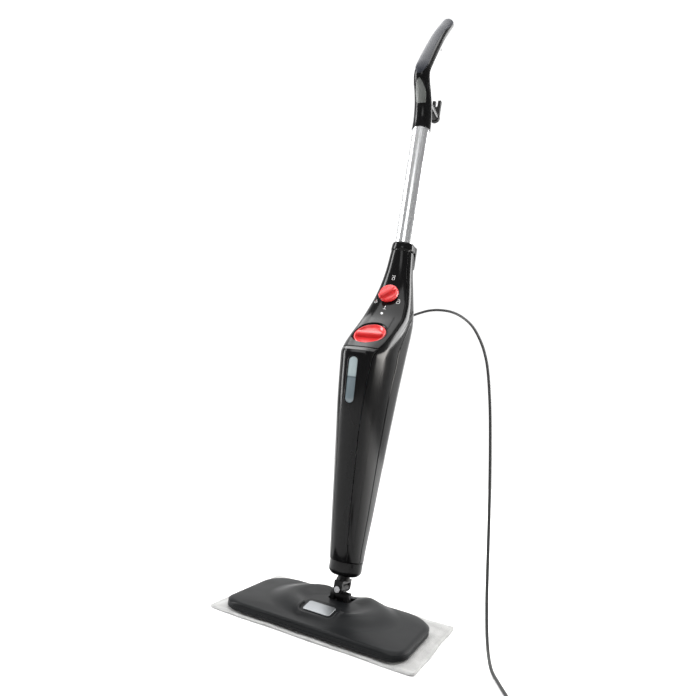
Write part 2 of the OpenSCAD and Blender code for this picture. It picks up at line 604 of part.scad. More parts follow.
cleaning_pad();
pad_tag();
hook_strips();
head_base();
steam_channel();
head_cover();
badge_plate();
head_screws();
hinge_bracket();
pitch_pin();
knuckle();
roll_pin();
roll_pin_clip();
neck_yoke();
neck_washers();
lower_collar();
rear_shell();
side_panel_left();
side_panel_right();
front_cover();
window_lens();
water_tank();
filler_bezel();
filler_seal();
cap_knob();
cap_stopper();
control_panel();
dial_knob();
dial_shaft();
dial_switch();
led_lens();
circuit_board();
water_pump();
pump_mounts();
boiler();
boiler_bracket();
thermostat();
thermal_fuse();
suction_hose();
pressure_hose();
steam_hose();
shell_screws();
strain_relief();
upper_collar();
lower_cord_hook();
tube();
tube_screw();
handle_left();
handle_right();
grip_insert();
handle_inset();
handle_screws();
upper_cord_hook();
hook_screw();
cord_tube();
cord_coil();
cord_tail();
cord_tie();
plug_body();
plug_pins();
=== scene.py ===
# Upright steam mop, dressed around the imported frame. Metres, +Z up, -Y is the front.
import json
import math

import bmesh
import bpy
from mathutils import Matrix, Vector


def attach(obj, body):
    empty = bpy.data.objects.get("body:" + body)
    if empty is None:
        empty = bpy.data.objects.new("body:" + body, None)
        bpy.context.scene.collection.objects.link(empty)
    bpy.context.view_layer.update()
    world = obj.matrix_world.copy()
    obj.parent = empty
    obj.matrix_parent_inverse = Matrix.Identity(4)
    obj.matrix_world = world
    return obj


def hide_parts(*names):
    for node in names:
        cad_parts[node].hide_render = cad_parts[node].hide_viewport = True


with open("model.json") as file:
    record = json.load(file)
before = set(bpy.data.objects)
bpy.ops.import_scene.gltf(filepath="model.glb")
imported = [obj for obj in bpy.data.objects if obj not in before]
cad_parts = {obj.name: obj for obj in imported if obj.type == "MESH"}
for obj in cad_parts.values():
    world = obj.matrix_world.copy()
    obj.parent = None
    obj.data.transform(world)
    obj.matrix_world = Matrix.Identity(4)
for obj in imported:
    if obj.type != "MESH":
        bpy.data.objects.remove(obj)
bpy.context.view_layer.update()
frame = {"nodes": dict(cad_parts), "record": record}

MM = 0.001
WALL = 2.4
SHELL_LOW, SHELL_TOP = 46, 592
COVER_TOP, PANEL_LOW = 388, 389
WINDOW_LOW, WINDOW_HIGH, SLOT_R = 304, 362, 10
CAP_R, CAP_HOLE_R = 27.5, 31.1
DIAL_R, SHAFT_HOLE_R = 17.5, 3.05
RELIEF_R, RELIEF_L = 7.2, 32
TUBE_R, TUBE_WALL, TUBE_SHOW = 16.3, 1.4, 234
NECK_R, COLLAR_R = 10, 28


def tilted(depth, height, degrees):
    """A frame in the middle plane, at a depth and a height in millimetres, turned about X."""
    return Matrix.Translation((0, depth * MM, height * MM)) @ Matrix.Rotation(math.radians(degrees), 4, "X")


# ---------------------------------------------------------------- frames on the object
STEM = tilted(17, 44, -6)
TUBE = STEM @ tilted(16, 600, 2.3)
CAP = STEM @ tilted(-66, 417, 49)
DIAL = STEM @ tilted(-11, 504, 72)
EXIT = STEM @ tilted(51, 476, -70)
LED = STEM @ tilted(-40, 464, -90)
SCREW_HOLES = [STEM @ tilted(20, height, -90) for height in (110, 300)]
WINDOW_SLOT = STEM @ tilted(-130, 0, -90)
HOOK_ARM = TUBE @ tilted(0, 297, -90)


# ---------------------------------------------------------------- camera
CAMERA_AT = (0.390, -0.909, 0.3705)
CAMERA_TURN = (25.27, -3.95, 7.59)
CAMERA_LENS = 30.58


def add_camera():
    data = bpy.data.cameras.new("camera")
    data.sensor_width = 36
    data.lens = CAMERA_LENS
    data.clip_start = 0.05
    camera = bpy.data.objects.new("camera", data)
    yaw, pitch, roll = (math.radians(angle) for angle in CAMERA_TURN)
    ahead = Vector((-math.sin(yaw) * math.cos(pitch), math.cos(yaw) * math.cos(pitch), -math.sin(pitch)))
    level = Vector((math.cos(yaw), math.sin(yaw), 0))
    upright = level.cross(ahead)
    right = math.cos(roll) * level + math.sin(roll) * upright
    up = -math.sin(roll) * level + math.cos(roll) * upright
    turn = Matrix((right, up, -ahead)).transposed().to_4x4()
    camera.matrix_world = Matrix.Translation(CAMERA_AT) @ turn
    bpy.context.collection.objects.link(camera)
    bpy.context.scene.camera = camera


add_camera()

# ---------------------------------------------------------------- the mains lead
CORD_D = 0.005
RELIEF_TIP = EXIT @ Vector((0, 0, RELIEF_L * MM))
# Route of the loose lead, from the strain relief down to the floor and into the coil
ROUTE = [
    tuple(RELIEF_TIP),
    (0, 0.158, 0.522), (0.002, 0.168, 0.525), (0.008, 0.177, 0.530), (0.020, 0.184, 0.537),
    (0.037, 0.187, 0.543), (0.058, 0.187, 0.545), (0.082, 0.183, 0.542), (0.106, 0.175, 0.532),
    (0.129, 0.163, 0.515), (0.148, 0.151, 0.491), (0.163, 0.139, 0.464), (0.175, 0.127, 0.430),
    (0.189, 0.108, 0.370), (0.201, 0.090, 0.300), (0.212, 0.072, 0.225), (0.222, 0.054, 0.150),
    (0.232, 0.034, 0.080), (0.243, 0.012, 0.030), (0.256, -0.014, 0.006), (0.272, -0.044, 0.0025),
    (0.290, -0.078, 0.0025), (0.304, -0.108, 0.0025), (0.311, -0.130, 0.003), (0.313, -0.150, 0.0035),
]
COIL_AT = (0.352, -0.150)
COIL_OUT, COIL_IN = 0.039, 0.021
LAYERS = 6
COIL_Z = 0.0035
# Turns in a layer, turns in the last one, and the share of a turn in which the lead climbs a layer
WOUND, LAST_WOUND, CLIMB = 3.6, 3 + 20 / 360, 0.4
PLUG_AT = (0.288, -0.220, 0.010)
TAIL = [(0.321, -0.182, 0.026), (0.322, -0.198, 0.020), (0.316, -0.211, 0.013), (0.303, -0.218, 0.010),
        PLUG_AT]


def smooth_path(points, per=6):
    """Catmull-Rom points through a given route."""
    points = [Vector(p) for p in points]
    out = []
    for i in range(len(points) - 1):
        a, b = points[max(i - 1, 0)], points[i]
        c, d = points[i + 1], points[min(i + 2, len(points) - 1)]
        for k in range(per):
            t = k / per
            out.append(0.5 * (2 * b + (c - a) * t + (2 * a - 5 * b + 4 * c - d) * t * t
                              + (3 * b - a - 3 * c + d) * t ** 3))
    return out + [points[-1]]


def coil_points(per_turn=36):
    """Six flat layers of turns, wound in and out by turns, each rising a diameter to the next."""
    out, angle = [], 180.0
    for layer in range(LAYERS):
        wound = WOUND if layer < LAYERS - 1 else LAST_WOUND
        start, end = (COIL_OUT, COIL_IN) if layer % 2 == 0 else (COIL_IN, COIL_OUT)
        for k in range(round(wound * per_turn)):
            share = k / round(wound * per_turn)
            out.append((start + (end - start) * share, angle + 360 * wound * share,
                        COIL_Z + CORD_D * layer))
        angle += 360 * wound
        if layer < LAYERS - 1:
            for k in range(round(CLIMB * per_turn)):
                share = k / round(CLIMB * per_turn)
                ease = share * share * (3 - 2 * share)
                out.append((end, angle + 360 * CLIMB * share, COIL_Z + CORD_D * (layer + ease)))
            angle += 360 * CLIMB
    out.append((COIL_OUT, angle, COIL_Z + CORD_D * (LAYERS - 1)))
    return [Vector((COIL_AT[0] + r * math.cos(math.radians(a)),
                    COIL_AT[1] + r * math.sin(math.radians(a)), z)) for r, a, z in out]


def add_cord(material):
    coil = coil_points()
    line = smooth_path(ROUTE)[:-1] + coil[:-1] + smooth_path([coil[-1]] + TAIL)
    data = bpy.data.curves.new("mains_lead", "CURVE")
    data.dimensions = "3D"
    data.bevel_depth = CORD_D / 2
    data.bevel_resolution = 4
    data.use_fill_caps = True
    spline = data.splines.new("POLY")
    spline.points.add(len(line) - 1)
    for point, place in zip(spline.points, line):
        point.co = (*place, 1)
    spline.use_smooth = True
    data.materials.append(material)
    cord = bpy.data.objects.new("mains_lead", data)
    bpy.context.collection.objects.link(cord)
    return cord


# ---------------------------------------------------------------- materials
def principled(name, colour, rough, metallic=0.0, **inputs):
    material = bpy.data.materials.new(name)
    material.use_nodes = True
    shader = material.node_tree.nodes["Principled BSDF"]
    shader.inputs["Base Color"].default_value = (*colour, 1)
    shader.inputs["Roughness"].default_value = rough
    shader.inputs["Metallic"].default_value = metallic
    for key, value in inputs.items():
        shader.inputs[key.replace("_", " ")].default_value = value
    return material, shader


def texture(material, kind, scale, stretch=(1, 1, 1), detail=4.0):
    """A procedural texture in the piece's own coordinates, in metres."""
    nodes, links = material.node_tree.nodes, material.node_tree.links
    place = nodes.new("ShaderNodeTexCoord")
    mapping = nodes.new("ShaderNodeMapping")
    mapping.inputs["Scale"].default_value = stretch
    links.new(place.outputs["Object"], mapping.inputs["Vector"])
    pattern = nodes.new(kind)
    pattern.inputs["Scale"].default_value = scale
    if "Detail" in pattern.inputs:
        pattern.inputs["Detail"].default_value = detail
    links.new(mapping.outputs["Vector"], pattern.inputs["Vector"])
    return pattern


def spread(material, shader, socket, pattern, low, high, span=(0.35, 0.65)):
    """Sends a pattern to a socket between two values or two colours."""
    nodes, links = material.node_tree.nodes, material.node_tree.links
    source = pattern.outputs["Fac"] if "Fac" in pattern.outputs else pattern.outputs["Distance"]
    if isinstance(low, tuple):
        ramp = nodes.new("ShaderNodeValToRGB")
        ramp.color_ramp.elements[0].position = span[0]
        ramp.color_ramp.elements[1].position = span[1]
        ramp.color_ramp.elements[0].color = (*low, 1)
        ramp.color_ramp.elements[1].color = (*high, 1)
        links.new(source, ramp.inputs["Fac"])
        links.new(ramp.outputs["Color"], shader.inputs[socket])
        return
    ranged = nodes.new("ShaderNodeMapRange")
    ranged.inputs["From Min"].default_value, ranged.inputs["From Max"].default_value = span
    ranged.inputs["To Min"].default_value, ranged.inputs["To Max"].default_value = low, high
    links.new(source, ranged.inputs["Value"])
    links.new(ranged.outputs["Result"], shader.inputs[socket])


def bump(material, shader, pattern, strength, depth):
    nodes, links = material.node_tree.nodes, material.node_tree.links
    source = pattern.outputs["Fac"] if "Fac" in pattern.outputs else pattern.outputs["Distance"]
    node = nodes.new("ShaderNodeBump")
    node.inputs["Strength"].default_value = strength
    node.inputs["Distance"].default_value = depth
    links.new(source, node.inputs["Height"])
    links.new(node.outputs["Normal"], shader.inputs["Normal"])


def plastic(name, colour, rough, grain=900.0, depth=0.00004, tone=0.12, **inputs):
    """Moulded plastic: faint mottling in tone and gloss, and a fine surface grain."""
    material, shader = principled(name, colour, rough, **inputs)
    broad = texture(material, "ShaderNodeTexNoise", 14.0)
    fine = texture(material, "ShaderNodeTexNoise", grain, detail=2.0)
    low = tuple(c * (1 - tone) for c in colour)
    high = tuple(min(c * (1 + tone), 1) for c in colour)
    spread(material, shader, "Base Color", broad, low, high)
    spread(material, shader, "Roughness", broad, rough * 0.9, rough * 1.15)
    bump(material, shader, fine, 0.25, depth)
    return material


def metal(name, colour, rough, stretch, grain=700.0):
    """Metal with a drawn or rolled grain along one way."""
    material, shader = principled(name, colour, rough, metallic=1.0)
    lines = texture(material, "ShaderNodeTexNoise", grain, stretch=stretch, detail=3.0)
    spread(material, shader, "Roughness", lines, rough * 0.85, rough * 1.25)
    spread(material, shader, "Base Color", lines, tuple(c * 0.94 for c in colour), colour)
    bump(material, shader, lines, 0.1, 0.00002)
    return material


def microfibre():
    material, shader = principled("microfibre", (0.36, 0.36, 0.355), 0.95, Sheen_Weight=0.15,
                                  Sheen_Roughness=0.5)
    tufts = texture(material, "ShaderNodeTexVoronoi", 620.0)
    shade = texture(material, "ShaderNodeTexNoise", 45.0)
    spread(material, shader, "Base Color", shade, (0.31, 0.31, 0.305), (0.41, 0.41, 0.405), (0.3, 0.7))
    bump(material, shader, tufts, 0.7, 0.0006)
    return material


def lens_plastic():
    """Clear window over pale blue water, with the air above it lighter."""
    material, shader = principled("lens_plastic", (0.55, 0.62, 0.70), 0.06, Coat_Weight=0.6,
                                  Coat_Roughness=0.05)
    nodes, links = material.node_tree.nodes, material.node_tree.links
    place = nodes.new("ShaderNodeTexCoord")
    axes = nodes.new("ShaderNodeSeparateXYZ")
    links.new(place.outputs["Object"], axes.inputs["Vector"])
    ramp = nodes.new("ShaderNodeValToRGB")
    ranged = nodes.new("ShaderNodeMapRange")
    ranged.inputs["From Min"].default_value = 0.32
    ranged.inputs["From Max"].default_value = 0.43
    links.new(axes.outputs["Z"], ranged.inputs["Value"])
    links.new(ranged.outputs["Result"], ramp.inputs["Fac"])
    ramp.color_ramp.elements[0].color = (0.08, 0.105, 0.12, 1)
    ramp.color_ramp.elements[1].color = (0.26, 0.31, 0.32, 1)
    ramp.color_ramp.elements[1].position = 0.72
    for place_at, colour in ((0.62, (0.11, 0.14, 0.155, 1)), (0.645, (0.05, 0.065, 0.075, 1)),
                             (0.66, (0.24, 0.29, 0.30, 1))):
        stop = ramp.color_ramp.elements.new(place_at)
        stop.color = colour
    links.new(ramp.outputs["Color"], shader.inputs["Base Color"])
    return material


MATERIALS = {
    "pad_cloth": microfibre(),
    "hook_nylon": plastic("hook_nylon", (0.03, 0.03, 0.03), 0.9),
    "charcoal_shell": plastic("charcoal_shell", (0.0055, 0.006, 0.0065), 0.36, depth=0.00006,
                              Specular_IOR_Level=0.1),
    "black_nylon": plastic("black_nylon", (0.005, 0.005, 0.005), 0.42, Specular_IOR_Level=0.2),
    "gloss_black": plastic("gloss_black", (0.004, 0.004, 0.0042), 0.16, depth=0.00001, tone=0.05,
                           Specular_IOR_Level=0.15),
    "steel": metal("steel", (0.36, 0.36, 0.37), 0.28, (1, 1, 1)),
    "silver_plate": metal("silver_plate", (0.26, 0.27, 0.28), 0.38, (1, 12, 1)),
    "tube_aluminium": metal("tube_aluminium", (0.86, 0.87, 0.88), 0.24, (6, 6, 0.15)),
    "cast_aluminium": metal("cast_aluminium", (0.5, 0.5, 0.51), 0.5, (1, 1, 1), 300.0),
    "coral_plastic": plastic("coral_plastic", (0.60, 0.030, 0.032), 0.26, depth=0.00002, tone=0.06),
    "clear_plastic": lens_plastic(),
    "led_white": plastic("led_white", (0.9, 0.9, 0.9), 0.3),
    "seal_rubber": plastic("seal_rubber", (0.02, 0.02, 0.02), 0.7),
    "grey_plastic": plastic("grey_plastic", (0.07, 0.075, 0.07), 0.4),
    "grip_rubber": plastic("grip_rubber", (0.014, 0.016, 0.023), 0.46, grain=1400.0, depth=0.00003,
                           Specular_IOR_Level=0.22),
    "green_board": plastic("green_board", (0.02, 0.12, 0.05), 0.4),
    "pump_plastic": plastic("pump_plastic", (0.5, 0.5, 0.48), 0.5),
    "silicone": plastic("silicone", (0.6, 0.6, 0.58), 0.5),
    "cord_rubber": plastic("cord_rubber", (0.012, 0.012, 0.012), 0.45, grain=1500.0),
    "brass": metal("brass", (0.72, 0.62, 0.4), 0.25, (1, 1, 1)),
}
ICON_WHITE = plastic("icon_white", (0.8, 0.8, 0.8), 0.4)

SLOT = {part["node"]: part["material_slot"] for part in frame["record"]["subparts"]}
for node, piece in frame["nodes"].items():
    piece.data.materials.clear()
    piece.data.materials.append(MATERIALS[SLOT[node]])


# ---------------------------------------------------------------- mesh helpers
def finish_mesh(name, mesh, material, smooth=40):
    """Links a bmesh as an object with consistent normals and shading smooth below an angle."""
    bmesh.ops.remove_doubles(mesh, verts=mesh.verts, dist=1e-6)
    bmesh.ops.recalc_face_normals(mesh, faces=mesh.faces)
    data = bpy.data.meshes.new(name)
    mesh.to_mesh(data)
    mesh.free()
    data.materials.append(material)
    data.shade_smooth()
    data.set_sharp_from_angle(angle=math.radians(smooth))
    piece = bpy.data.objects.new(name, data)
    bpy.context.collection.objects.link(piece)
    return piece


def loft(rings):
    """A closed solid through rings of points, capped at both ends."""
    mesh = bmesh.new()
    rows = [[mesh.verts.new(p) for p in ring] for ring in rings]
    count = len(rings[0])
    for lower, upper in zip(rows, rows[1:]):
        for j in range(count):
            k = (j + 1) % count
            mesh.faces.new((lower[j], lower[k], upper[k], upper[j]))
    mesh.faces.new(rows[0])
    mesh.faces.new(rows[-1])
    return mesh


def lathe(profile, place, segments=72):
    """A solid of revolution about the local Z axis from (radius, height) points in millimetres."""
    mesh = bmesh.new()
    rows = []
    for r, z in profile:
        if r == 0:
            rows.append([mesh.verts.new(place @ Vector((0, 0, z * MM)))])
            continue
        rows.append([mesh.verts.new(place @ Vector((r * MM * math.cos(2 * math.pi * j / segments),
                                                    r * MM * math.sin(2 * math.pi * j / segments), z * MM)))
                     for j in range(segments)])
    for lower, upper in zip(rows, rows[1:]):
        for j in range(segments):
            k = (j + 1) % segments
            corners = [row[m % len(row)] for row, m in ((lower, j), (lower, k), (upper, k), (upper, j))]
            corners = [c for i, c in enumerate(corners) if c not in corners[:i]]
            if len(corners) > 2:
                mesh.faces.new(corners)
    return mesh


def rounded_outline(w, d, r, steps=8):
    """Points of a rectangle with round corners, in millimetres, anticlockwise."""
    out = []
    for cx, cy, start in ((w / 2 - r, d / 2 - r, 0), (r - w / 2, d / 2 - r, 90), (r - w / 2, r - d / 2, 180),
                          (w / 2 - r, r - d / 2, 270)):
        for k in range(steps + 1):
            a = math.radians(start + 90 * k / steps)
            out.append((cx + r * math.cos(a), cy + r * math.sin(a)))
    return out


def rounded_block(w, d, h, r, edge, place, steps=8):
    """A block with round upright corners and rounded top and bottom edges, base at local z 0."""
    profile = [(edge * (1 - math.cos(math.radians(a))), edge * (1 - math.sin(math.radians(a))))
               for a in range(0, 91, 15)]
    profile += [(h - z, inset) for z, inset in reversed(profile)]
    rings = [[place @ Vector((x * MM, y * MM, z * MM))
              for x, y in rounded_outline(w - 2 * inset, d - 2 * inset, max(r - inset, 0.2), steps)]
             for z, inset in profile]
    return loft(rings)


def cut(piece, cutter):
    """Takes another object out of a piece, and removes that object."""
    modifier = piece.modifiers.new("cut", "BOOLEAN")
    modifier.operation = "DIFFERENCE"
    modifier.solver = "EXACT"
    modifier.object = cutter
    apply(piece)
    bpy.data.objects.remove(cutter)


def apply(piece):
    """Bakes a piece's modifiers into its mesh."""
    depsgraph = bpy.context.evaluated_depsgraph_get()
    data = bpy.data.meshes.new_from_object(piece.evaluated_get(depsgraph))
    old = piece.data
    piece.modifiers.clear()
    piece.data = data
    bpy.data.meshes.remove(old)


def reshade(piece, angle):
    piece.data.shade_smooth()
    piece.data.set_sharp_from_angle(angle=math.radians(angle))


def soften(node, width=0.4, segments=2):
    """Rounds the hard edges of a CAD node."""
    piece = frame["nodes"][node]
    modifier = piece.modifiers.new("round", "BEVEL")
    modifier.width = width * MM
    modifier.segments = segments
    modifier.limit_method = "ANGLE"
    modifier.angle_limit = math.radians(40)
    modifier.harden_normals = True


# ---------------------------------------------------------------- housing surface
# Height, half width, front, back, depth of the widest line, roundness of the front
BODY = [
    (28, 28, 28, 27, 0, 2), (64, 28.5, 42, 27.5, -1, 2.1), (121, 31.8, 58.5, 27.5, -2, 2.2),
    (183, 34.4, 73.5, 29, -4, 2.4), (239, 36.3, 87, 31, -5, 2.6), (300, 38.7, 103, 35, -5, 2.8),
    (345, 40.6, 110.5, 37.6, -5, 3), (368, 41.8, 113.5, 38.2, -4, 3.1), (380, 42.2, 113, 39, -3, 3.3),
    (387, 42.4, 103.5, 39.8, -2, 3.8), (400, 42.7, 89.5, 41.5, -1, 4.4), (420, 43.2, 70, 44.5, 1, 4.2),
    (440, 43.2, 51, 49, 4, 3.6), (460, 42.2, 33, 52, 8, 3.2), (480, 39.2, 21, 52.3, 12, 2.9),
    (500, 35, 12, 50.3, 16, 2.7), (525, 30, 6, 46.3, 19, 2.5), (555, 24.8, 4, 42.3, 18, 2.2),
    (592, 21, 4, 37.2, 16.5, 2)]
REAR_ROUND = 2.3
# Angles by height of the crease between front and side, and of the joint between side and rear
CREASE = [(46, 60), (120, 65), (250, 67), (310, 63), (360, 59.5), (370, 58.5), (385, 56), (400, 51.5),
          (416, 46.5), (432, 42), (450, 39), (470, 38), (592, 36)]
REAR_JOINT = [(46, 14), (150, 13), (320, 9), (390, 5), (445, 4), (480, -4), (520, -20), (592, -25)]


def slope(i, k):
    a, b = max(i - 1, 0), min(i + 1, len(BODY) - 1)
    return (BODY[b][k] - BODY[a][k]) / (BODY[b][0] - BODY[a][0])


def at(s, k):
    """Smooth value of one column of the housing table at a height."""
    i = max([j for j in range(len(BODY) - 1) if BODY[j][0] <= s] or [0])
    h = BODY[i + 1][0] - BODY[i][0]
    t = (s - BODY[i][0]) / h
    return (BODY[i][k] * (2 * t ** 3 - 3 * t ** 2 + 1) + h * slope(i, k) * (t ** 3 - 2 * t ** 2 + t)
            + BODY[i + 1][k] * (3 * t ** 2 - 2 * t ** 3) + h * slope(i + 1, k) * (t ** 3 - t ** 2))


def skin(s, angle, grow=0.0):
    """Point of the housing at a height and an angle, 0 right and 90 front, in the world."""
    c, n = math.cos(math.radians(angle)), math.sin(math.radians(angle))
    e, mid = 2 / (at(s, 5) if n >= 0 else REAR_ROUND), at(s, 4)
    reach = at(s, 2) + mid + grow if n >= 0 else at(s, 3) - mid + grow
    x = (at(s, 1) + grow) * math.copysign(abs(c) ** e, c)
    y = mid - math.copysign(abs(n) ** e, n) * reach
    return STEM @ Vector((x * MM, y * MM, s * MM))


def front(x, s, grow=0.0):
    """Point on the front of the housing at a distance to the right and a height."""
    e, mid = at(s, 5), at(s, 4)
    share = max(1 - abs(x / (at(s, 1) + grow)) ** e, 0) ** (1 / e)
    return STEM @ Vector((x * MM, (mid - share * (at(s, 2) + mid + grow)) * MM, s * MM))


def by_height(table, s):
    """Value of a two-column table at a height, in straight steps between its rows."""
    for (s0, v0), (s1, v1) in zip(table, table[1:]):
        if s <= s1:
            return v0 + (v1 - v0) * max(s - s0, 0) / (s1 - s0)
    return table[-1][1]


def crease(s):
    return by_height(CREASE, s)


def rear_joint(s):
    return by_height(REAR_JOINT, s)


# Radius of a moulded sheet's edges, and half the joint line between two sheets, in degrees
ROUND = 0.9
JOINT_GAP = 0.5


def edge_steps(length, count):
    """Distances along a strip, close together at both rounded edges."""
    ends = [0, 0.12, 0.35, 0.65, ROUND, 1.4]
    inner = [1.4 + (length - 2.8) * k / count for k in range(1, count)]
    return ends + inner + [length - d for d in reversed(ends)]


def edge_drop(d):
    """How far the surface falls at a distance from a rounded edge."""
    return 0 if d >= ROUND else ROUND - math.sqrt(max(ROUND ** 2 - (ROUND - d) ** 2, 0))


def shell(name, node, low, high, edge_a, edge_b, material, rows=70, cols=36, mirrored=False):
    """A moulded sheet of the housing with rounded edges, between two heights and two edge lines."""
    outer, inner = [], []
    for along in edge_steps(high - low, rows):
        s = low + along
        a, b = edge_a(s) + JOINT_GAP, edge_b(s) - JOINT_GAP
        chord = sum((skin(s, a + (b - a) * k / 12) - skin(s, a + (b - a) * (k + 1) / 12)).length
                    for k in range(12)) / MM
        fall_s = edge_drop(min(along, high - low - along))
        row_out, row_in = [], []
        for across in edge_steps(chord, cols):
            angle = a + (b - a) * across / chord
            fall = max(fall_s, edge_drop(min(across, chord - across)))
            row_out.append(skin(s, angle, -fall))
            row_in.append(skin(s, angle, -WALL))
        outer.append(row_out)
        inner.append(row_in)
    if mirrored:
        outer = [[Vector((-p.x, p.y, p.z)) for p in row] for row in outer]
        inner = [[Vector((-p.x, p.y, p.z)) for p in row] for row in inner]
    mesh = bmesh.new()
    front_v = [[mesh.verts.new(p) for p in row] for row in outer]
    back_v = [[mesh.verts.new(p) for p in row] for row in inner]
    last_i, last_j = len(outer) - 1, len(outer[0]) - 1
    for i in range(last_i):
        for j in range(last_j):
            mesh.faces.new((front_v[i][j], front_v[i][j + 1], front_v[i + 1][j + 1], front_v[i + 1][j]))
            mesh.faces.new((back_v[i][j], back_v[i + 1][j], back_v[i + 1][j + 1], back_v[i][j + 1]))
    for j in range(last_j):
        for i in (0, last_i):
            mesh.faces.new((front_v[i][j], front_v[i][j + 1], back_v[i][j + 1], back_v[i][j]))
    for i in range(last_i):
        for j in (0, last_j):
            mesh.faces.new((front_v[i][j], front_v[i + 1][j], back_v[i + 1][j], back_v[i][j]))
    piece = finish_mesh(name, mesh, material, 30)
    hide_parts(node)
    return piece


def bore(piece, place, r, low, high):
    """Cuts a round hole along the local Z axis of a place."""
    rod = lathe([(0, low), (r, low), (r, high), (0, high)], place)
    cut(piece, finish_mesh("cutter", rod, MATERIALS["steel"]))


def slot_outline(r, count):
    """Points around the window's slot, and for each the nearest point of the slot's middle line."""
    out = []
    for start, middle in ((0, WINDOW_HIGH), (180, WINDOW_LOW)):
        for k in range(count + 1):
            a = math.radians(start + 180 * k / count)
            x, s = r * math.cos(a), middle + r * math.sin(a)
            out.append((x, s, min(max(s, WINDOW_LOW), WINDOW_HIGH)))
    return out


def add_housing():
    gloss = MATERIALS["gloss_black"]

    def opposite(s):
        return 180 - crease(s)

    rear = shell("rear_casing", "rear_shell", SHELL_LOW, SHELL_TOP, lambda s: 180 - rear_joint(s),
                 lambda s: 360 + rear_joint(s), gloss, 110, 56)
    bore(rear, EXIT, RELIEF_R, -15, 15)
    for hole in SCREW_HOLES:
        bore(rear, hole, 2, 0, 40)
    right = shell("side_casing_right", "side_panel_right", SHELL_LOW, SHELL_TOP, rear_joint, crease, gloss,
                  110)
    left = shell("side_casing_left", "side_panel_left", SHELL_LOW, SHELL_TOP, rear_joint, crease, gloss, 110,
                 mirrored=True)
    face = shell("front_casing", "front_cover", SHELL_LOW, COVER_TOP, crease, opposite, gloss)
    rings = [[WINDOW_SLOT @ Vector((x * MM, -s * MM, z * MM)) for x, s, _ in slot_outline(SLOT_R, 18)]
             for z in (0, 60)]
    cut(face, finish_mesh("cutter", loft(rings), gloss))
    fascia = shell("control_fascia", "control_panel", PANEL_LOW, SHELL_TOP, crease, opposite, gloss, 80, 48)
    bore(fascia, CAP, CAP_HOLE_R, -30, 30)
    bore(fascia, DIAL, 5, -15, 15)
    bore(fascia, LED, 2.3, 0, 40)
    for piece in (rear, right, left, face, fascia):
        reshade(piece, 24)
        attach(piece, "main")


def add_window():
    """The clear window and the dark rim around it, both set in the slot."""
    outline = slot_outline(SLOT_R - 0.3, 32)
    # Levels of each: a share of the way in from the slot's edge, and a height over the housing
    lens = [(0.0, -WALL), (0.0, -0.9), (0.2, -0.8), (0.24, -0.5), (0.35, -0.3), (0.5, -0.15), (0.97, -0.1)]
    rim = [(0.0, -0.8), (0.0, 0.15), (0.04, 0.35), (0.13, 0.4), (0.2, 0.2), (0.21, -0.75)]
    for name, levels, slot in (("water_window", lens, "clear_plastic"), ("window_rim", rim, "gloss_black")):
        mesh = bmesh.new()
        rows = [[mesh.verts.new(front(x * (1 - pull), s + (middle - s) * pull, grow))
                 for x, s, middle in outline] for pull, grow in levels]
        for lower, upper in zip(rows, rows[1:] + ([rows[0]] if slot == "gloss_black" else [])):
            for j in range(len(outline)):
                k = (j + 1) % len(outline)
                mesh.faces.new((lower[j], lower[k], upper[k], upper[j]))
        if slot == "clear_plastic":
            mesh.faces.new(rows[0])
            mesh.faces.new(rows[-1])
        piece = finish_mesh(name, mesh, MATERIALS[slot], 40)
        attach(piece, "main")
        if slot == "clear_plastic":
            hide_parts("window_lens")


# ---------------------------------------------------------------- head
HEAD_W, HEAD_D, HEAD_Y = 304, 170, -19
EDGE_Z, RIM_Z, HEAD_LOW, HEAD_MIDDLE_Z = 19, 33, 7.6, 26.4
FRONT_CORNER, REAR_CORNER = 30, 48
# Insets from the outline: where the rings would meet in a point, and the last one that is drawn
FULL_INSET, LAST_INSET = 82, 80.5
# The shallow groove around the head's side
GROOVE_LOW, GROOVE_HIGH, GROOVE_DEEP = 11.3, 12.1, 0.45
BADGE_AT, BADGE_TILT, BADGE_W, BADGE_D = (-61, 31), 11, 46, 26
# The badge's pocket goes past the badge by these, and lies a little behind it
POCKET_W, POCKET_D, POCKET_BACK, POCKET_CORNER = 9, 10, 2, 9
NECK_HOLE_W, NECK_HOLE_D, NECK_HOLE_Y = 40, 42, 26


def fade(t):
    """One to nought, smoothly, as t goes from nought to one."""
    return 1 if t <= 0 else 0 if t >= 1 else 1 - t * t * (3 - 2 * t)


def rounded_distance(x, y, w, d, r):
    """Distance outside a rectangle with round corners, below nought inside it."""
    ax, ay = abs(x) - w / 2 + r, abs(y) - d / 2 + r
    return math.hypot(max(ax, 0), max(ay, 0)) + min(max(ax, ay), 0) - r


def head_top(x, y, inset):
    """Height of the head: a crowned slab, an oval raised rim, and a framed recess for the badge."""
    q = math.hypot(x / 72, (y + 8) / 58)
    crown = 3.5 * (1 - (1 - min(inset / 30, 1)) ** 2)
    outer = fade((q - 1) / 0.55)
    rim = (RIM_Z - EDGE_Z - 2) * (outer if q > 1 else 1 - 0.5 * fade((q - 0.55) / 0.4))
    low_rear = 1 if y < 20 else 1 - fade(abs(x) / 46) * min((y - 20) / 20, 1)
    z = EDGE_Z - 2.8 * (1 - min(inset / 4.5, 1)) ** 2 + crown * (1 - outer * 0.6) + rim * low_rear
    far = rounded_distance(x, y - BADGE_AT[0], BADGE_W + 0.8, BADGE_D + 0.8, 4.5)
    level = BADGE_AT[1] + math.tan(math.radians(BADGE_TILT)) * (y - BADGE_AT[0])
    lip = 1.5 * math.exp(-((far - 8) / 3.2) ** 2)
    inside = fade((far - 3.2) / 2.2)
    return (z + lip) * (1 - inside) + min(level - 0.4, z) * inside


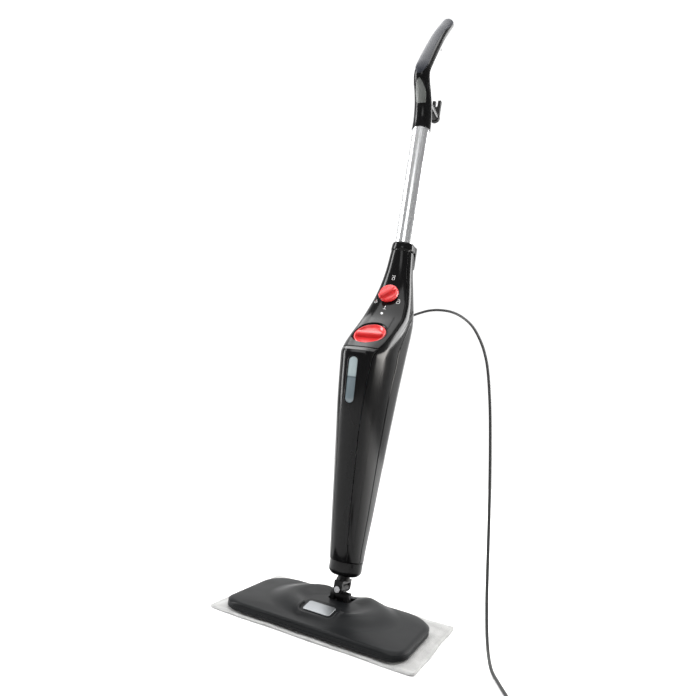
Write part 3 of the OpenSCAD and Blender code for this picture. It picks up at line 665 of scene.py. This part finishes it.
def head_reach(angle, hw, hd):
    """Distance from the head's middle to its outline at an angle."""
    c, s = abs(math.cos(angle)), abs(math.sin(angle))
    r = REAR_CORNER if math.sin(angle) > 0 else FRONT_CORNER
    cx, cy = hw - r, hd - r
    if c > 1e-4 and hw / c * s <= cy:
        return hw / c
    if s > 1e-4 and hd / s * c <= cx:
        return hd / s
    along = cx * c + cy * s
    return along + math.sqrt(max(along ** 2 - (cx ** 2 + cy ** 2 - r ** 2), 0))


def add_head():
    n = 288
    insets = [0, 0.5, 1.1, 1.8, 2.7, 3.8, 5, 6.5, 8] + [9.5 + 1.1 * k for k in range(65)]

    def ring(inset, drop, low=None):
        out = []
        for j in range(n):
            a = 2 * math.pi * j / n
            k = (head_reach(a, HEAD_W / 2, HEAD_D / 2) - drop) * (1 - inset / FULL_INSET)
            x, y = k * math.cos(a), HEAD_Y + k * math.sin(a)
            out.append(Vector((x * MM, y * MM, (head_top(x, y, inset) - drop if low is None else low) * MM)))
        return out

    rings = [ring(LAST_INSET, WALL, HEAD_MIDDLE_Z - WALL)]
    rings += [ring(inset, WALL) for inset in reversed(insets[::2])]
    rings += [ring(0, WALL, HEAD_LOW + 0.2), ring(0, WALL * 0.5, HEAD_LOW), ring(0, 0.5, HEAD_LOW),
              ring(0, 0, HEAD_LOW + 0.5), ring(0, 0, GROOVE_LOW), ring(0, GROOVE_DEEP, GROOVE_LOW + 0.2),
              ring(0, GROOVE_DEEP, GROOVE_HIGH - 0.2), ring(0, 0, GROOVE_HIGH), ring(0, 0, 15.4)]
    rings += [ring(inset, 0) for inset in insets]
    rings += [ring(LAST_INSET, 0, HEAD_MIDDLE_Z)]
    cover = finish_mesh("head_top_cover", loft(rings), MATERIALS["charcoal_shell"], 40)
    opening = rounded_block(NECK_HOLE_W, NECK_HOLE_D, 40, 8, 0.1,
                            Matrix.Translation((0, NECK_HOLE_Y * MM, 5 * MM)))
    cut(cover, finish_mesh("cutter", opening, MATERIALS["charcoal_shell"]))
    badge = Matrix.Translation((0, BADGE_AT[0] * MM, BADGE_AT[1] * MM)) @ Matrix.Rotation(
        math.radians(BADGE_TILT), 4, "X")
    pocket = rounded_block(BADGE_W + POCKET_W, BADGE_D + POCKET_D, 14, POCKET_CORNER, 0.1,
                           badge @ Matrix.Translation((0, POCKET_BACK * MM, 0)))
    cut(cover, finish_mesh("cutter", pocket, MATERIALS["charcoal_shell"]))
    reshade(cover, 40)
    floor = rounded_block(BADGE_W + POCKET_W + 4, BADGE_D + POCKET_D + 4, 1.6, POCKET_CORNER + 1, 0.2,
                          badge @ Matrix.Translation((0, POCKET_BACK * MM, -1.5 * MM)))
    bed = finish_mesh("badge_bed", floor, MATERIALS["charcoal_shell"], 50)
    for piece in (cover, bed):
        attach(piece, "head")
        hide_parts("head_cover")
    place = badge @ Matrix.Translation((0, 0, 0.3 * MM))
    plate = finish_mesh("badge", rounded_block(BADGE_W, BADGE_D, 1.3, 4, 0.5, place, 10),
                        MATERIALS["silver_plate"], 50)
    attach(plate, "head")
    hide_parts("badge_plate")


# ---------------------------------------------------------------- cleaning pad
PAD_W, PAD_D, PAD_T, PAD_CORNER = 345, 212, 6, 9
# Distance of the hem's stitches from the edge, and the width of the band that lifts off the floor
STITCH_IN, LOOSE_BAND = 7.5, 26


def ripple(x, y):
    """Slow rise and fall of the cloth near its free edge, in millimetres."""
    edge = min(PAD_W / 2 - abs(x), PAD_D / 2 - abs(y))
    loose = fade((edge - 2) / (LOOSE_BAND - 2))
    wave = (math.sin(x * 0.083 + 1.3 * math.sin(y * 0.031)) + 0.7 * math.sin(y * 0.11 + x * 0.021 + 1.7)
            + 0.5 * math.sin(x * 0.19 - y * 0.07))
    return loose * (0.5 + 0.42 * wave)


def add_pad():
    """The cloth: a thick sheet that lies on the floor, with a flat stitched hem and a napped face."""
    nx, ny = 150, 96
    mesh = bmesh.new()
    top, under = [], []
    for j in range(ny + 1):
        row_top, row_under = [], []
        for i in range(nx + 1):
            u, v = 2 * i / nx - 1, 2 * j / ny - 1
            x, y = PAD_W / 2 * u, PAD_D / 2 * v
            past_x, past_y = abs(x) - PAD_W / 2 + PAD_CORNER, abs(y) - PAD_D / 2 + PAD_CORNER
            corner = math.hypot(max(past_x, 0), max(past_y, 0))
            if corner > PAD_CORNER:
                pull = PAD_CORNER / corner
                x = math.copysign(PAD_W / 2 - PAD_CORNER + past_x * pull, x)
                y = math.copysign(PAD_D / 2 - PAD_CORNER + past_y * pull, y)
            wander_x = 0.7 * math.sin(y * 0.06) * abs(u) ** 8
            wander_y = 0.7 * math.sin(x * 0.05 + 1) * abs(v) ** 8
            edge = min(PAD_W / 2 - abs(x), PAD_D / 2 - abs(y))
            rolled = math.sqrt(max(1 - (1 - min(edge / 2.0, 1)) ** 2, 0))
            stitch = 0.9 * math.exp(-((edge - STITCH_IN) / 0.9) ** 2)
            thick = 1.2 + 2.0 * rolled + 1.2 * (1 - fade((edge - 8) / 7)) - stitch
            lift = ripple(x, y) * (1 if edge < LOOSE_BAND else 0)
            height = max(min(thick + max(lift, 0), PAD_T - 0.15), 0.5)
            row_top.append(mesh.verts.new(((x - wander_x) * MM, (y - wander_y) * MM, height * MM)))
            base = max(lift * 0.7, 0) * fade((edge - 1) / 14)
            row_under.append(mesh.verts.new(((x - wander_x) * MM, (y - wander_y) * MM, (0.02 + base) * MM)))
        top.append(row_top)
        under.append(row_under)
    for j in range(ny):
        for i in range(nx):
            mesh.faces.new((top[j][i], top[j][i + 1], top[j + 1][i + 1], top[j + 1][i]))
            mesh.faces.new((under[j][i], under[j + 1][i], under[j + 1][i + 1], under[j][i + 1]))
    for i in range(nx):
        for j in (0, ny):
            mesh.faces.new((top[j][i], top[j][i + 1], under[j][i + 1], under[j][i]))
    for j in range(ny):
        for i in (0, nx):
            mesh.faces.new((top[j][i], top[j + 1][i], under[j + 1][i], under[j][i]))
    pad = finish_mesh("cleaning_cloth", mesh, MATERIALS["pad_cloth"], 70)
    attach(pad, "head")
    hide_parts("cleaning_pad")
    return pad


# ---------------------------------------------------------------- controls
def add_cap():
    """The filler cap: a coral disc with a dished face and a straight grip bar across it."""
    r = CAP_R
    profile = [(0, -8), (r - 0.6, -8), (r, -7.4), (r, 0.9), (r - 0.3, 1.6), (r - 1.1, 2), (r - 2, 1.9),
               (r - 2.6, 1.2), (r - 3.4, 0.2), (r - 4.6, -0.8), (r - 6.5, -1.6), (r - 9, -2.1), (0, -2.5)]
    knob = finish_mesh("filler_cap", lathe(profile, CAP, 96), MATERIALS["coral_plastic"], 30)
    rings = []
    for z, half_w, half_l in ((-2.9, 5.9, 24.6), (-1.6, 5.3, 24.3), (0.5, 4.7, 23.9), (2.6, 4.4, 23.6),
                              (4.2, 4.1, 23.3), (4.9, 3.6, 22.8), (5.3, 2.9, 22.1), (5.45, 1.6, 20.9)):
        rings.append([CAP @ Vector((x * MM, y * MM, z * MM))
                      for x, y in rounded_outline(2 * half_l, 2 * half_w, half_w * 0.95, 8)])
    bar = finish_mesh("filler_cap_bar", loft(rings), MATERIALS["coral_plastic"], 50)
    for piece in (knob, bar):
        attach(piece, "cap")
        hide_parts("cap_knob")


def add_bezel():
    """The dark rim around the cap, a dish with a rounded lip."""
    r = CAP_R
    profile = [(18.2, -12), (r + 2.2, -12), (r + 2.2, -1), (r + 3.2, 0.8), (r + 3.4, 1.3), (r + 3.2, 1.9),
               (r + 2.7, 2.3), (r + 2.1, 2.35), (r + 1.2, 1.7), (r + 0.7, 0.8), (r + 0.6, 0), (r + 0.6, -9),
               (18.2, -9), (18.2, -12)]
    bezel = finish_mesh("filler_surround", lathe(profile, CAP, 96), MATERIALS["gloss_black"], 35)
    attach(bezel, "main")
    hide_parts("filler_bezel")


def add_dial():
    """The dial: a low disc with a raised, rounded pointer bar across it."""
    base = DIAL @ Matrix.Translation((0, 0, 1.7 * MM))
    r = DIAL_R
    profile = [(SHAFT_HOLE_R, 0), (r - 0.3, 0), (r, 0.5), (r - 0.25, 3.2), (r - 0.7, 5.2), (r - 1.2, 6),
               (r - 2.2, 6.4), (r - 5, 6.2), (r - 8, 6.0), (SHAFT_HOLE_R, 6.0), (SHAFT_HOLE_R, 0)]
    disc = finish_mesh("dial_disc", lathe(profile, base, 96), MATERIALS["coral_plastic"], 30)
    turned = base @ Matrix.Rotation(math.radians(130), 4, "Z") @ Matrix.Translation((0, 1.5 * MM, 0))
    rings = []
    for z, half_w, half_l in ((5.2, 5.0, 16.9), (7, 4.6, 16.8), (9.5, 4.2, 16.6), (11.3, 3.9, 16.2),
                              (12.3, 3.4, 15.6), (12.8, 2.6, 14.7), (12.95, 1.4, 13.4)):
        rings.append([turned @ Vector((x * MM, (y + 0.4) * MM, z * MM))
                      for x, y in rounded_outline(2 * half_w, 2 * (half_l - 0.5), half_w * 0.85, 8)])
    bar = finish_mesh("dial_pointer", loft(rings), MATERIALS["coral_plastic"], 50)
    for piece in (disc, bar):
        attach(piece, "dial")
        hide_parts("dial_knob")


def printed(name, strips):
    """A printed mark on the fascia, from flat strips: right, height, width, length and turn of each."""
    mesh = bmesh.new()
    for x, s, w, h, angle in strips:
        c, n = math.cos(math.radians(angle)), math.sin(math.radians(angle))
        corners = [(-w / 2, -h / 2), (w / 2, -h / 2), (w / 2, h / 2), (-w / 2, h / 2)]
        flat = [(x + a * c - b * n, s + a * n + b * c) for a, b in corners]
        low = [mesh.verts.new(front(a, b, 0.02)) for a, b in flat]
        high = [mesh.verts.new(front(a, b, 0.1)) for a, b in flat]
        mesh.faces.new(low)
        mesh.faces.new(high)
        for k in range(4):
            mesh.faces.new((low[k], low[(k + 1) % 4], high[(k + 1) % 4], high[k]))
    piece = finish_mesh(name, mesh, ICON_WHITE, 20)
    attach(piece, "main")


def steam_mark(name, x, s, size, streaks):
    """A generic steam mark: a small outlined square with slanted streaks over it."""
    side, line = size * 0.42, 0.55
    strips = []
    for turn in (0, 90, 180, 270):
        a = math.radians(turn)
        strips.append((x + side * math.cos(a), s + side * math.sin(a), size * 0.7, line, turn + 90))
    for k in range(streaks):
        strips.append((x + (k - (streaks - 1) / 2) * size * 0.4, s + size * 0.95, line, size * 0.5, 12))
    printed(name, strips)


def add_marks():
    steam_mark("mark_high", 0, 536, 5.6, 3)
    steam_mark("mark_middle", 19.9, 490, 5.8, 2)
    steam_mark("mark_low", -22.3, 489, 5.2, 1)
    printed("mark_lamp", [(0.3, 474, 5, 0.8, 0), (0.3, 478, 0.8, 4.8, 0)])


# ---------------------------------------------------------------- tube, collars and handle
TUBE_SIDES = 192
TUBE_INSIDE, TUBE_IN_HOUSING, TUBE_IN_HANDLE = TUBE_R - TUBE_WALL, 58, 22


def tube_ring(r, z, inner=False):
    """Outline of the tube with four shallow grooves, in the world."""
    out = []
    for j in range(TUBE_SIDES):
        a = 360 * j / TUBE_SIDES
        near = min(abs((a - g + 180) % 360 - 180) for g in (-132, -48, 48, 132))
        dip = 0 if inner else 0.85 * math.exp(-(near / 2.2) ** 2)
        out.append(TUBE @ Vector(((r - dip) * math.cos(math.radians(a)) * MM,
                                  (r - dip) * math.sin(math.radians(a)) * MM, z * MM)))
    return out


def add_tube():
    top = TUBE_SHOW + TUBE_IN_HANDLE
    rings = [tube_ring(TUBE_INSIDE, -TUBE_IN_HOUSING, True), tube_ring(TUBE_R, -TUBE_IN_HOUSING)]
    rings += [tube_ring(TUBE_R, TUBE_SHOW * k / 3) for k in range(4)]
    rings += [tube_ring(TUBE_R, top), tube_ring(TUBE_INSIDE, top, True)]
    mesh = bmesh.new()
    rows = [[mesh.verts.new(p) for p in ring] for ring in rings]
    for lower, upper in zip(rows, rows[1:] + rows[:1]):
        for j in range(TUBE_SIDES):
            k = (j + 1) % TUBE_SIDES
            mesh.faces.new((lower[j], lower[k], upper[k], upper[j]))
    tube = finish_mesh("silver_tube", mesh, MATERIALS["tube_aluminium"], 30)
    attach(tube, "main")
    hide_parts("tube")


def add_collars():
    r = TUBE_R
    profile = [(r + 0.2, -6), (r + 4.0, -6), (r + 4.4, -5.6), (r + 4.8, -4), (r + 4.9, -3), (r + 4.7, 0),
               (r + 4.3, 4.5), (r + 4.0, 6.2), (r + 3.5, 7.8), (r + 2.9, 8.7), (r + 2.3, 9), (r + 0.8, 9),
               (r + 0.2, 8.5), (r + 0.2, -6)]
    upper = finish_mesh("tube_collar", lathe(profile, TUBE, 96), MATERIALS["gloss_black"], 35)
    r, bore_r = COLLAR_R, NECK_R + 0.1
    profile = [(bore_r, 22), (r - 6.5, 22), (r - 5, 22.5), (r - 1.6, 25.9), (r - 0.6, 27.6), (r, 30),
               (r, 44.4), (r - 0.6, 45), (r - WALL, 45), (r - WALL, 40), (bore_r, 40), (bore_r, 22)]
    lower = finish_mesh("foot_collar", lathe(profile, STEM, 96), MATERIALS["gloss_black"], 30)
    for piece, node in ((upper, "upper_collar"), (lower, "lower_collar")):
        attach(piece, "main")
        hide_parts(node)


# Centreline of the handle in the tube's frame: depth, height, radius
HAND_LINE = [(0, 235, 17.6), (0, 249, 17.5), (-2.2, 264, 17.0), (-9.6, 285, 16.3), (-21, 302, 15.6),
             (-32.5, 315, 15.3), (-37.6, 326, 15.1), (-36.4, 337, 15.0), (-30.5, 350, 14.9),
             (-18.5, 373.5, 14.7), (-3, 402, 14.4), (12.5, 429, 14.1), (29, 454, 13.7), (46, 478, 13.3),
             (58.6, 495.6, 13.0)]
HAND_END = 13


def hand_line(per=8):
    """Dense points along the handle with their radius, and a round end."""
    points = smooth_path([(y, z, r) for y, z, r in HAND_LINE], per)
    last, before = points[-1], points[-2]
    way = Vector((last.x - before.x, last.y - before.y)).normalized()
    for k in range(1, 13):
        a = math.radians(90 * k / 12)
        reach = HAND_END * math.sin(a)
        points.append(Vector((last.x + way.x * reach, last.y + way.y * reach,
                              max(HAND_END * math.cos(a), 0.05))))
    return points


HAND = hand_line()
HAND_S = [0.0]
for left, right in zip(HAND, HAND[1:]):
    HAND_S.append(HAND_S[-1] + math.hypot(right.x - left.x, right.y - left.y))


def hand_point(u, angle, grow=0.0):
    """Point of the handle in the world: a length along it and an angle, 270 to the front."""
    i = max([k for k in range(len(HAND_S) - 1) if HAND_S[k] <= u] or [0])
    t = (u - HAND_S[i]) / (HAND_S[i + 1] - HAND_S[i])
    p = HAND[i].lerp(HAND[i + 1], t)
    a, b = HAND[max(i - 1, 0)], HAND[min(i + 1, len(HAND) - 1)]
    c, d = HAND[i], HAND[min(i + 2, len(HAND) - 1)]
    way = (b - a).xy.normalized() * (1 - t) + (d - c).xy.normalized() * t
    way.normalize()
    r = max(p.z + grow, 0.05)
    x, out = r * math.cos(math.radians(angle)), r * math.sin(math.radians(angle))
    return TUBE @ Vector((x * MM, (p.x + out * way.y) * MM, (p.y - out * way.x) * MM))


def hand_half(side):
    """Half of the moulded handle, left or right of the middle plane, which is a fine joint."""
    rings = []
    for u, grow in [(0, -0.8), (0.7, 0)] + [(u, 0) for u in HAND_S[1:]]:
        rings.append([hand_point(u, -90 + 180 * j / 24, grow) for j in range(25)])
    rings = [[Vector((side * (max(p.x, 0) + 0.00012), p.y, p.z)) for p in ring] for ring in rings]
    name = "handle_half_right" if side > 0 else "handle_half_left"
    piece = finish_mesh(name, loft(rings), MATERIALS["gloss_black"], 40)
    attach(piece, "main")
    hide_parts("handle_right" if side > 0 else "handle_left")


def hand_skin(name, node, slot, u0, u1, width, grow, flat_low=False, round_l=16.0):
    """A soft or coloured insert that follows the handle's front, with rounded edges."""
    rows, cols = 90, 30
    outer, inner = [], []
    for i in range(rows + 1):
        share = 0.5 - 0.5 * math.cos(math.pi * i / rows)
        u = u0 + (u1 - u0) * share
        near = (u1 - u) if flat_low else min(u - u0, u1 - u)
        closing = math.sqrt(max(1 - (1 - min(near / round_l, 1)) ** 2, 0.0004))
        half = width(share) * closing
        row_out, row_in = [], []
        for j in range(cols + 1):
            across = -math.cos(math.pi * j / cols)
            angle = 270 + half * across
            edge = min((1 - abs(across)) * half * 0.25, near, u - u0, u1 - u)
            fall = 0 if edge > 0.9 else 0.7 * (1 - math.sqrt(1 - (1 - edge / 0.9) ** 2))
            row_out.append(hand_point(u, angle, grow - fall))
            row_in.append(hand_point(u, angle, -1.0))
        outer.append(row_out)
        inner.append(row_in)
    mesh = bmesh.new()
    top = [[mesh.verts.new(p) for p in row] for row in outer]
    low = [[mesh.verts.new(p) for p in row] for row in inner]
    for i in range(rows):
        for j in range(cols):
            mesh.faces.new((top[i][j], top[i][j + 1], top[i + 1][j + 1], top[i + 1][j]))
            mesh.faces.new((low[i][j], low[i + 1][j], low[i + 1][j + 1], low[i][j + 1]))
    for j in range(cols):
        for i in (0, rows):
            mesh.faces.new((top[i][j], top[i][j + 1], low[i][j + 1], low[i][j]))
    for i in range(rows):
        for j in (0, cols):
            mesh.faces.new((top[i][j], top[i + 1][j], low[i + 1][j], low[i][j]))
    piece = finish_mesh(name, mesh, MATERIALS[slot], 50)
    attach(piece, "main")
    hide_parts(node)


def grip_width(t):
    """Half angle of the soft insert by share of its length: waisted, then wide around the tip."""
    return 56 - 12 * math.sin(math.pi * min(t / 0.8, 1)) + 26 * max(t - 0.72, 0) / 0.28


def inset_width(t):
    """Half angle of the grey inset by share of its length."""
    return 34 + 8 * math.sin(math.pi * t)


def add_handle():
    hand_half(1)
    hand_half(-1)
    hand_skin("grip_soft_insert", "grip_insert", "grip_rubber", 100, HAND_S[-1] - 1.5, grip_width, 0.5)
    hand_skin("handle_front_inset", "handle_inset", "grey_plastic", 51, 95, inset_width, 0.3, flat_low=True,
              round_l=26)
    arm = finish_mesh("hook_arm", lathe([(0, 8), (8, 8), (8, 59.8), (7.4, 60.5), (0, 60.5)], HOOK_ARM, 48),
                      MATERIALS["gloss_black"], 40)
    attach(arm, "main")


# ---------------------------------------------------------------- floor and light
# Half side of the floor, the way to the bright part of the sky, and the sky's dark and bright strengths
FLOOR_HALF = 1.9
BRIGHT_WAY = (-0.42, 0.905, 0.06)
SKY_DARK, SKY_BRIGHT = 0.30, 1.10


def area_light(name, place, aim, size, power, colour=(1, 1, 1)):
    data = bpy.data.lights.new(name, "AREA")
    data.shape = "RECTANGLE"
    data.size, data.size_y = size
    data.energy = power
    data.color = colour
    light = bpy.data.objects.new(name, data)
    light.location = place
    light.rotation_euler = (Vector(aim) - Vector(place)).to_track_quat("-Z", "Y").to_euler()
    bpy.context.collection.objects.link(light)


def add_studio():
    mesh = bmesh.new()
    bmesh.ops.create_grid(mesh, x_segments=8, y_segments=8, size=FLOOR_HALF)
    floor_material, shader = principled("studio_floor", (0.86, 0.86, 0.86), 0.75)
    haze = texture(floor_material, "ShaderNodeTexNoise", 2.0)
    spread(floor_material, shader, "Base Color", haze, (0.85, 0.85, 0.85), (0.88, 0.88, 0.88))
    floor = finish_mesh("studio_floor", mesh, floor_material)
    floor.location = (0, 0, -0.0005)
    world = bpy.data.worlds.new("studio")
    bpy.context.scene.world = world
    world.use_nodes = True
    nodes, links = world.node_tree.nodes, world.node_tree.links
    nodes["Background"].inputs["Color"].default_value = (1, 1, 1, 1)
    place = nodes.new("ShaderNodeTexCoord")
    facing = nodes.new("ShaderNodeVectorMath")
    facing.operation = "DOT_PRODUCT"
    facing.inputs[1].default_value = BRIGHT_WAY
    links.new(place.outputs["Generated"], facing.inputs[0])
    ramp = nodes.new("ShaderNodeMapRange")
    ramp.interpolation_type = "SMOOTHSTEP"
    ramp.inputs["From Min"].default_value, ramp.inputs["From Max"].default_value = 0.55, 0.75
    ramp.inputs["To Min"].default_value, ramp.inputs["To Max"].default_value = SKY_DARK, SKY_BRIGHT
    links.new(facing.outputs["Value"], ramp.inputs["Value"])
    links.new(ramp.outputs["Result"], nodes["Background"].inputs["Strength"])
    area_light("key_left", (-1.7, -0.5, 0.9), (0, 0, 0.5), (0.5, 1.9), 50)
    area_light("side_soft", (1.75, 1.05, 0.62), (0, 0, 0.36), (1.1, 0.5), 26, (1, 0.97, 0.93))
    area_light("back_floor", (-0.6, 1.6, 2.2), (-0.5, 1.4, 0), (2.4, 1.6), 40)
    area_light("side_box", (1.3, 1.7, 1.25), (0, 0, 0.45), (0.8, 0.9), 24)
    area_light("front_fill", (0.5, -2.2, 1.4), (0, 0, 0.4), (0.8, 0.8), 10)
    area_light("top", (0.1, -0.3, 2.6), (0.1, -0.1, 0), (2.6, 2.4), 82)
    bpy.context.scene.view_settings.view_transform = "Standard"


add_studio()
add_housing()
add_window()
add_head()
add_pad()
add_cap()
add_bezel()
add_dial()
add_marks()
add_tube()
add_collars()
add_handle()
lead = add_cord(MATERIALS["cord_rubber"])
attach(lead, "main")
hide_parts("cord_tube", "cord_coil", "cord_tail")

for node in ("hinge_bracket", "knuckle", "neck_yoke", "lower_cord_hook", "upper_cord_hook", "roll_pin",
             "pitch_pin", "strain_relief", "pad_tag", "cord_tie", "plug_body", "plug_pins"):
    soften(node)
